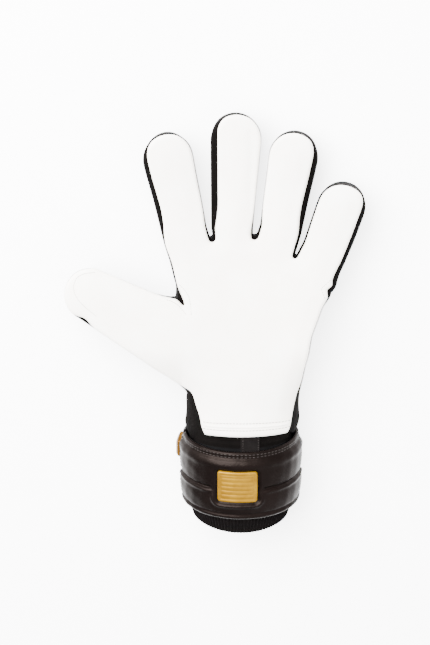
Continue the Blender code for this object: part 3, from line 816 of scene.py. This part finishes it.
def stitches(name, path, place, pitch, length, radius, material):
    """A row of short thread stitches along a path of (x, y, level) points."""
    path = resample(np.array(path, float), pitch)
    tangent, side, up = frames_along(path)
    vertices, faces = [], []
    sides = 6
    for centre, forward, right, over in zip(path, tangent, side, up):
        base = len(vertices)
        for share, width in STITCH_RINGS:
            middle = centre + share * length * forward
            for step in range(sides):
                turn = 2.0 * math.pi * step / sides
                around = math.cos(turn) * right + math.sin(turn) * over
                vertices.append(middle + width * radius * around)
        for ring in range(len(STITCH_RINGS) - 1):
            for step in range(sides):
                first = base + ring * sides + step
                second = base + ring * sides + (step + 1) % sides
                faces.append((first, second, second + sides, first + sides))
        faces.append(tuple(base + step for step in range(sides))[::-1])
        last = base + (len(STITCH_RINGS) - 1) * sides
        faces.append(tuple(last + step for step in range(sides)))
    return mesh_object(name, place(np.array(vertices)), faces, material)


def welt(name, path, place, radius, material):
    """A raised round seam along a path of (x, y, level) points, tapered at its ends."""
    path = resample(np.array(path, float), 0.8)
    _, side, up = frames_along(path)
    sides = 8
    vertices, faces = [], []
    reach = np.minimum(np.arange(len(path)), np.arange(len(path))[::-1])
    taper = np.clip((reach + 0.4) / 3.0, 0.0, 1.0) ** 0.5
    for centre, right, over, width in zip(path, side, up, taper * radius):
        for step in range(sides):
            turn = 2.0 * math.pi * step / sides
            vertices.append(centre + width * (math.cos(turn) * right + math.sin(turn) * over))
    for ring in range(len(path) - 1):
        for step in range(sides):
            first = ring * sides + step
            second = ring * sides + (step + 1) % sides
            faces.append((first, second, second + sides, first + sides))
    return mesh_object(name, place(np.array(vertices)), faces, material)


# --- The wrist and cuff ----------------------------------------------------------------------------

TUBE_STEPS = 192
WEB_SPAN = (13.0, -9.0)
WEB_ROW = 0.8
WEB_GROWTH = -0.6
WEB_WRINKLE = 0.2
WEB_WRINKLE_RATE = 1.3
SLEEVE_SPAN = (-6.0, -55.0)
SLEEVE_ROW = 3.0
RIBS = 96
RIB_STEPS = 8
RIB_ROWS = 14
RIB_TOP = -50.0
RIB_END = -64.0
RIB_GROWTH = 1.1
RIB_TAPER = 3.6
RIB_TAPER_POWER = 1.3
RIB_DEPTH = 0.42
RIB_DIP = 6.5
# The ribbed cuff's rolled lip: y past its end, growth past its narrowest, and ribbing.
RIB_LIP = ((-0.7, -0.3, 0.35), (-1.0, -1.0, 0.1), (-0.6, -1.8, 0.2))
RIB_INSIDE = (RIB_TOP + 8.0, -2.0, 0.0)


def tube(name, rows, material, around=TUBE_STEPS, dip=0.0):
    """A tube round the wrist: each row is its y, how far it stands off the sleeve, and its ribbing.

    The palm side hangs lower by dip.
    """
    turns = np.linspace(0.0, 2.0 * math.pi, around, endpoint=False)
    points = []
    for y, growth, ribbing in rows:
        off = growth + ribbing * np.cos(RIBS * turns)
        lower = y - dip * np.maximum(np.sin(turns), 0.0) ** 1.5
        points.append(np.column_stack(((CUFF_HALF_WIDTH + off) * np.cos(turns), lower,
                                       (CUFF_HALF_DEPTH + off) * np.sin(turns))))
    faces = []
    for row in range(len(rows) - 1):
        for step in range(around):
            first = row * around + step
            second = row * around + (step + 1) % around
            faces.append((first, second, second + around, first + around))
    return mesh_object(name, cuff_place(np.concatenate(points)), faces, material)


def add_wrist():
    """The knit web and sleeve under the strap, and the ribbed cuff."""
    rows = []
    for y in np.arange(*WEB_SPAN, -WEB_ROW):
        rows.append((y, WEB_GROWTH + WEB_WRINKLE * math.sin(WEB_WRINKLE_RATE * y), 0.0))
    web = tube("wrist_web_cloth", rows, KNIT)
    attach(web, WRIST, "knit", "wrist_web")
    stretched_sheet(web)

    rows = [(y, 0.0, 0.0) for y in np.arange(*SLEEVE_SPAN, -SLEEVE_ROW)]
    sleeve = tube("sleeve_cloth", rows, LINING)
    attach(sleeve, "cuff", "knit", "wrist_sleeve")
    stretched_sheet(sleeve)

    rows = []
    for share in np.linspace(0.0, 1.0, RIB_ROWS):
        growth = RIB_GROWTH - RIB_TAPER * share ** RIB_TAPER_POWER
        rows.append((RIB_TOP + share * (RIB_END - RIB_TOP), growth, RIB_DEPTH))
    narrowest = RIB_GROWTH - RIB_TAPER
    rows += [(RIB_END + past, narrowest + growth, ribbing) for past, growth, ribbing in RIB_LIP]
    rows.append(RIB_INSIDE)
    ribbed = tube("ribbed_cuff", rows, RIB, RIBS * RIB_STEPS, RIB_DIP)
    attach(ribbed, "cuff", "rib", "rib_cuff")


# --- The strap -------------------------------------------------------------------------------------

STRAP_SAG = 5.5
STRAP_TOP = -2.0
STRAP_REACH = 58.0
STRAP_INNER = 2.2
STRAP_OUTER = 6.0
NEAR_EDGE = (0.0, 0.12, 0.45, 1.0, 1.7)


def spaced(low, high, spacing):
    """Values from low to high, closer together near both ends."""
    near = np.array(NEAR_EDGE)
    count = max(2, int((high - low - 2 * near[-1]) / spacing))
    middle = np.linspace(low + near[-1], high - near[-1], count + 1)[1:-1]
    return np.concatenate((low + near, middle, (high - near)[::-1]))


def sagged(points):
    """Wrap points round the cuff, with the strap's edges dipping in the middle of the palm side."""
    points = np.array(points, float).reshape(-1, 3)
    dip = np.clip(1.0 - (points[:, 0] / STRAP_REACH) ** 2, 0.0, 1.0)
    points[:, 1] -= STRAP_SAG * dip
    return strap_place(points)


def box_distance(u, y, area, corner):
    """Distance outside a rounded rectangle, negative inside it."""
    u_low, u_high, y_low, y_high = area
    across = np.abs(u - 0.5 * (u_low + u_high)) - 0.5 * (u_high - u_low) + corner
    along = np.abs(y - 0.5 * (y_low + y_high)) - 0.5 * (y_high - y_low) + corner
    outside = np.hypot(np.maximum(across, 0.0), np.maximum(along, 0.0))
    return outside + np.minimum(np.maximum(across, along), 0.0) - corner


def padded_band(name, area, corner, under, top, rounding, material, spacing=0.9, place=sagged):
    """A closed pad wrapped round the cuff, with its outer layer given by top(u, y)."""
    us = spaced(area[0], area[1], spacing)
    ys = spaced(area[2], area[3], spacing)
    u, y = np.meshgrid(us, ys)
    u, y = u.ravel(), y.ravel()
    inside_by = np.clip(-box_distance(u, y, area, corner) / rounding, 0.0, 1.0)
    fullness = np.sqrt(1.0 - (1.0 - inside_by) ** 2)
    crown = top(u, y)
    middle = under + 0.35 * (crown.min() - under)
    outer = np.column_stack((u, y, middle + (crown - middle) * fullness))
    inner = np.column_stack((u, y, middle + (under - middle) * fullness))
    kept = box_distance(u, y, area, corner) < 0.3
    columns, rows = len(us), len(ys)
    faces = []
    for row in range(rows - 1):
        for column in range(columns - 1):
            first = row * columns + column
            corners = (first, first + 1, first + columns + 1, first + columns)
            if all(kept[list(corners)]):
                faces.append(corners)
                faces.append(tuple(corner_index + rows * columns for corner_index in corners[::-1]))
    return mesh_object(name, place(np.concatenate((outer, inner))), faces, material)


def level_top(level):
    """A flat outer face at one level."""
    return lambda u, y: np.full(u.shape, level)


STRAP_END = STRAP_TOP - STRAP_WIDTH
# Areas on the wrapped strap: u from and to, y from and to.
FLAP = (-57.0, 60.0, STRAP_END, STRAP_TOP)
STRAP_BACK = (60.6, 181.4, STRAP_END, STRAP_TOP)
LOOP = (-52.0, -14.0, -49.0, -8.0)
HOOK = (-50.0, -16.0, -47.0, -10.0)
BADGE = (-15.5, 10.5, -38.5, -15.5)
POCKET = (-17.0, 12.0, -40.0, -14.0)
POCKET_CORNER = 4.0
STRAP_EDGE = 1.6
PILE_EDGE = 0.5
# Both halves, in millimetres down from the top edge: where the stitched band stops, and the bottom
# groove's height, place and width.
BAND_END = (4.4, 6.0)
BOTTOM_GROOVE = (-0.7, 45.6, 0.7)
# The flap: its full bulge, its two pads (start and length) and its ridges (height, place and width).
FLAP_BULGE = 0.7
FLAP_BAND_DEPTH = 1.3
FLAP_PADS = ((5.0, 22.0), (28.0, 18.0))
FLAP_PAD_RISE = 0.9
FLAP_RIDGES = ((0.9, 9.0, 2.6), BOTTOM_GROOVE, (0.3, 47.6, 1.0))
MIDDLE_CREASE = ((0.9, 29.6, 1.3), (-1.7, 27.4, 0.9))
CREASE_FADE = (1.0, 5.0)
# The badge's pocket: its depth, its wall, and the lip below it.
POCKET_DEPTH = 1.8
POCKET_WALL = (-1.2, 0.5)
POCKET_LIP = (0.9, 1.6, 1.1)
POCKET_LIP_FADE = (-30.0, -39.0)
LEATHER_WAVE = 0.10
BACK_INNER = 0.1
BACK_BAND_DEPTH = 1.1
BACK_RIDGES = (BOTTOM_GROOVE, (-0.25, 27.0, 1.6))
BADGE_CORNER = 2.0
BADGE_UNDER = 4.0
BADGE_FACE = 6.9
BADGE_RIB = 0.45
BADGE_RIB_PITCH = 3.1
BADGE_RIB_SHAPE = 0.7
BADGE_BORDER = 0.35
BADGE_BORDER_END = (1.8, 2.6)
BADGE_RIBS_START = (2.6, 3.4)


def ridges(distance, table):
    """The sum of some ridges and grooves, each a height, a place and a width."""
    return sum(height * bell(distance - place, width) for height, place, width in table)


def flap_top(u, y):
    """The moulded face of the strap's flap."""
    down = STRAP_TOP - y
    face = STRAP_OUTER + FLAP_BULGE * np.sin(math.pi * np.clip(down / STRAP_WIDTH, 0.0, 1.0))
    face -= FLAP_BAND_DEPTH * (1.0 - smooth(*BAND_END, down))
    for start, length in FLAP_PADS:
        face += FLAP_PAD_RISE * np.sin(math.pi * np.clip((down - start) / length, 0.0, 1.0))
    face += ridges(down, FLAP_RIDGES)
    pocket = box_distance(u, y, POCKET, POCKET_CORNER)
    face += smooth(*CREASE_FADE, pocket) * ridges(down, MIDDLE_CREASE)
    face -= POCKET_DEPTH * (1.0 - smooth(*POCKET_WALL, pocket))
    face += ridges(pocket, (POCKET_LIP,)) * smooth(*POCKET_LIP_FADE, y)
    return face + LEATHER_WAVE * np.sin(0.55 * u + 0.3 * y) * np.sin(0.21 * u - 0.4 * y)


def back_top(u, y):
    """The fixed half of the strap, with a stitched band along its top edge."""
    down = STRAP_TOP - y
    face = np.full(u.shape, STRAP_OUTER - BACK_INNER)
    face -= BACK_BAND_DEPTH * (1.0 - smooth(*BAND_END, down))
    return face + ridges(down, BACK_RIDGES)


def badge_top(u, y):
    """A plain ribbed pad with a flat border."""
    inside_by = -box_distance(u, y, BADGE, BADGE_CORNER)
    ribs = BADGE_RIB * np.abs(np.sin(math.pi * (y - BADGE[2]) / BADGE_RIB_PITCH)) ** BADGE_RIB_SHAPE
    border = BADGE_BORDER * (1.0 - smooth(*BADGE_BORDER_END, inside_by))
    return BADGE_FACE + ribs * smooth(*BADGE_RIBS_START, inside_by) + border


STRAP_STITCH = {"pitch": 2.6, "length": 1.7, "radius": 0.22}
STITCH_LIFT = 0.02
STITCH_ROWS = (("upper", 1.7), ("lower", 3.5))
STITCH_POINTS = 60
FLAP_STITCH_ENDS = (-55.4, 58.4)
BACK_STITCH_ENDS = (62.4, 179.4)
FLAP_END_STITCH = -54.6
FLAP_END_LIFT = 0.05
FLAP_END_SPAN = (-6.0, -48.0)
FLAP_END_POINTS = 30


def strap_stitches(name, us, ys, top, lift, body):
    """A row of stitches on one half of the strap."""
    us, ys = np.broadcast_arrays(us, ys)
    path = np.column_stack((us, ys, top(us, ys) + lift))
    row = stitches(name, path, sagged, material=GREY_THREAD, **STRAP_STITCH)
    attach(row, body, "leather")


def add_strap():
    """The flap with its badge, the fixed half, the fastener between them, and their stitches."""
    flap = padded_band("strap_flap_leather", FLAP, 3.0, STRAP_INNER, flap_top, STRAP_EDGE, LEATHER, 0.8)
    attach(flap, "strap", "leather", "strap_flap", "badge_bezel")
    back = padded_band("strap_back_leather", STRAP_BACK, 2.0, STRAP_INNER, back_top, STRAP_EDGE,
                       LEATHER, 1.3)
    attach(back, "cuff", "leather", "strap_back")
    loop = padded_band("loop_pile", LOOP, 2.0, 0.2, level_top(1.2), PILE_EDGE, PILE, 1.5)
    attach(loop, "cuff", "lining", "loop_patch")
    hook = padded_band("hook_pile", HOOK, 2.0, 1.4, level_top(2.5), PILE_EDGE, PILE, 1.5)
    attach(hook, "strap", "lining", "hook_patch")
    badge = padded_band("front_badge_gold", BADGE, BADGE_CORNER, BADGE_UNDER, badge_top, 0.9, GOLD, 0.5)
    attach(badge, "strap", "gold", "front_badge")

    for label, down in STITCH_ROWS:
        y = STRAP_TOP - down
        strap_stitches(f"flap_{label}_stitches", np.linspace(*FLAP_STITCH_ENDS, STITCH_POINTS), y,
                       flap_top, STITCH_LIFT, "strap")
        strap_stitches(f"back_{label}_stitches", np.linspace(*BACK_STITCH_ENDS, STITCH_POINTS), y,
                       back_top, STITCH_LIFT, "cuff")
    strap_stitches("flap_end_stitches", FLAP_END_STITCH, np.linspace(*FLAP_END_SPAN, FLAP_END_POINTS),
                   flap_top, FLAP_END_LIFT, "strap")


# The side badge's area, as the strap's areas are given, and its facets.
SIDE_BADGE = (158.5, 176.0, -28.0, -8.0)
SIDE_CORNER = 0.55
SIDE_SPACING = 0.7
SIDE_RINGS = (0.3, 0.7, 1.3, 2.0, 2.6, 3.2)
SIDE_LEVEL = 9.0
SIDE_BASE = 5.6
SIDE_SLOPE = 0.75
SIDE_RISE = 1.6
SIDE_DISH = 0.7
SIDE_DISH_EDGE = (3.0, 3.6)


def add_side_badge():
    """A faceted six-sided badge on the thumb side."""
    u_low, u_high, y_low, y_high = SIDE_BADGE
    half_u = 0.5 * (u_high - u_low)
    half_y = 0.5 * (y_high - y_low)
    corner = SIDE_CORNER * half_y
    corners = [(half_u, -corner), (half_u, corner), (0.0, half_y), (-half_u, corner),
               (-half_u, -corner), (0.0, -half_y), (half_u, -corner)]
    centre = (0.5 * (u_low + u_high), 0.5 * (y_low + y_high))
    loop = resample(np.array(corners), SIDE_SPACING)[:-1] + centre
    flat, faces, gap, rim = fill(loop, SIDE_RINGS, 1.0)
    level = SIDE_LEVEL + np.minimum(SIDE_SLOPE * gap, SIDE_RISE)
    level -= SIDE_DISH * smooth(*SIDE_DISH_EDGE, gap)
    base = np.column_stack((loop, np.full(len(loop), SIDE_BASE)))
    points = np.concatenate((np.column_stack((flat, level)), base))
    count = len(loop)
    low = [len(flat) + index for index in range(count)]
    walls = []
    for index in range(count):
        after = (index + 1) % count
        walls.append((rim[index], low[index], low[after], rim[after]))
    badge = mesh_object("side_badge_gold", strap_place(points), faces + walls, BRONZE)
    badge.data.shade_flat()
    attach(badge, "cuff", "gold", "side_badge")


STRIP = (-0.5, 14.0, -12.0, 4.0)
STRIP_UNDER = -0.8
STRIP_LEVEL = 0.3
STRIP_WEAVE = 0.16
STRIP_WEAVE_RATE = 5.2
STRIP_SEAMS = (("left", 1.1), ("right", 12.4))
STRIP_SEAM_YS = (3.0, -5.0, -11.0)
STRIP_SEAM_LEVEL = 0.4


def strip_top(u, y):
    """The woven strip's checked weave."""
    return STRIP_LEVEL + STRIP_WEAVE * np.sin(STRIP_WEAVE_RATE * u) * np.sin(STRIP_WEAVE_RATE * y)


def add_entry_strip():
    """The lighter woven strip let into the wrist cloth, with a dotted stitch along both sides."""
    strip = padded_band("woven_strip", STRIP, 0.5, STRIP_UNDER, strip_top, 0.5, WOVEN, 0.3, strap_place)
    attach(strip, WRIST, "rib", "entry_strip")
    for label, u in STRIP_SEAMS:
        path = [(u, y, STRIP_SEAM_LEVEL) for y in STRIP_SEAM_YS]
        row = stitches(f"strip_{label}_stitches", path, strap_place, 1.7, 1.0, 0.2, GREY_THREAD)
        attach(row, WRIST, "rib")


def level_on_latex(points):
    """Points on the outer face of the latex at (x, y) places."""
    flat = soften(resample(np.array(points, float), 0.5), 1.0, 0.5)
    gap = distance_to(flat, np.concatenate((EDGE[:, :2], EDGE[:1, :2])))
    return np.column_stack((flat, latex_height(flat, gap)))


HEM_SEAMS = (("upper", 8.2), ("lower", 5.0))
HEM_SEAM_ENDS = (-27.6, 33.4)
HEM_WELT_Y = 6.6
HEM_WELT_ENDS = (-28.4, 34.0)
HEM_WELT_RADIUS = 0.6
HEM_POINTS = 50
# Seam lines on the palm, in the pattern's millimetres, with the body that each one rides.
PALM_SEAMS = (
    ("thumb_tip", ((-104.5, 111.5), (-111.5, 111.0), (-116.5, 108.5), (-119.0, 103.0), (-118.5, 98.0),
                   (-115.5, 93.0), (-110.0, 87.5), (-104.0, 82.8)), "thumb_tip"),
    ("notch_upper", ((-44.6, 102.0), (-42.0, 99.5), (-38.5, 95.0), (-37.0, 88.0), (-36.8, 82.6)),
     "hand"),
    ("notch_lower", ((-53.4, 92.2), (-50.2, 91.2), (-46.0, 88.8), (-42.8, 85.2), (-40.8, 82.8)),
     "hand"),
    ("side_notch_upper", ((61.0, 105.2), (55.6, 100.4)), "hand"),
    ("side_notch_lower", ((55.2, 99.0), (57.2, 93.8)), "hand"),
)


def add_palm_trim():
    """The hem's stitches and welt, the thumb's tip seam, and the seams beside the two notches."""
    for label, y in HEM_SEAMS:
        path = level_on_latex([(x, y) for x in np.linspace(*HEM_SEAM_ENDS, HEM_POINTS)])
        row = stitches(f"hem_{label}_stitches", path, hand_place, 2.3, 1.9, 0.17, SEAM_THREAD)
        attach(row, WRIST, "latex")
    path = level_on_latex([(x, HEM_WELT_Y) for x in np.linspace(*HEM_WELT_ENDS, HEM_POINTS)])
    edge = welt("hem_edge_seam", path, hand_place, HEM_WELT_RADIUS, LATEX)
    attach(edge, WRIST, "latex")
    for name, run, body in PALM_SEAMS:
        row = stitches(f"{name}_stitches", level_on_latex(run), hand_place, 1.6, 1.35, 0.16, SEAM_THREAD)
        attach(row, body, "latex")


add_wrist()
add_strap()
add_side_badge()
add_entry_strip()
add_palm_trim()


# --- Floor, light and camera -----------------------------------------------------------------------

CAMERA_LEAN = math.radians(20.0)
CAMERA_DISTANCE = 1.3
CAMERA_TARGET = Vector((0.0, 0.0, 0.035))
VIEW_HEIGHT = 0.4604
SENSOR = 36.0
FLOOR_HALF = 3.0
FLOOR_LEVEL = -0.0005
FLOOR_GLOW = 3.6
WORLD_STRENGTH = 1.5
LIGHT_TARGET = Vector((0.0, 0.0, 0.03))
# Soft lights: name, place, size and power.
LIGHTS = (("key", (-0.5, 0.7, 1.1), 1.2, 200.0), ("fill", (0.8, -0.5, 0.9), 2.0, 30.0))


def add_floor():
    """A plain pale floor that glows a little, so that it renders near white."""
    mesh = bpy.data.meshes.new("floor")
    signs = ((-1.0, -1.0), (1.0, -1.0), (1.0, 1.0), (-1.0, 1.0))
    corners = [(x * FLOOR_HALF, y * FLOOR_HALF, FLOOR_LEVEL) for x, y in signs]
    mesh.from_pydata(corners, [], [(0, 1, 2, 3)])
    floor = bpy.data.objects.new("floor", mesh)
    bpy.context.scene.collection.objects.link(floor)
    material, tree, shader = new_material("floor_paper", (0.93, 0.93, 0.93), 0.9)
    tint = ramp(tree, noise(tree, 3.0), 0.2, 0.8, (0.92, 0.92, 0.92), (0.95, 0.95, 0.95))
    tree.links.new(tint, shader.inputs["Base Color"])
    shader.inputs["Emission Color"].default_value = (1.0, 1.0, 1.0, 1.0)
    shader.inputs["Emission Strength"].default_value = FLOOR_GLOW
    mesh.materials.append(material)


def add_area_light(name, location, size, power):
    light = bpy.data.lights.new(name, "AREA")
    light.size = size
    light.energy = power
    holder = bpy.data.objects.new(name, light)
    bpy.context.scene.collection.objects.link(holder)
    holder.location = location
    holder.rotation_euler = (LIGHT_TARGET - Vector(location)).to_track_quat("-Z", "Y").to_euler()


def add_camera():
    camera = bpy.data.cameras.new("camera")
    camera.sensor_width = SENSOR
    camera.lens = 0.5 * SENSOR * CAMERA_DISTANCE / (0.5 * VIEW_HEIGHT)
    holder = bpy.data.objects.new("camera", camera)
    bpy.context.scene.collection.objects.link(holder)
    back = Vector((0.0, math.sin(CAMERA_LEAN), math.cos(CAMERA_LEAN)))
    holder.location = CAMERA_TARGET + CAMERA_DISTANCE * back
    holder.rotation_euler = (-CAMERA_LEAN, 0.0, 0.0)
    bpy.context.scene.camera = holder


def add_world():
    world = bpy.data.worlds.new("studio")
    world.use_nodes = True
    background = world.node_tree.nodes["Background"]
    background.inputs["Color"].default_value = (1.0, 1.0, 1.0, 1.0)
    background.inputs["Strength"].default_value = WORLD_STRENGTH
    bpy.context.scene.world = world


add_floor()
add_world()
for light in LIGHTS:
    add_area_light(*light)
add_camera()
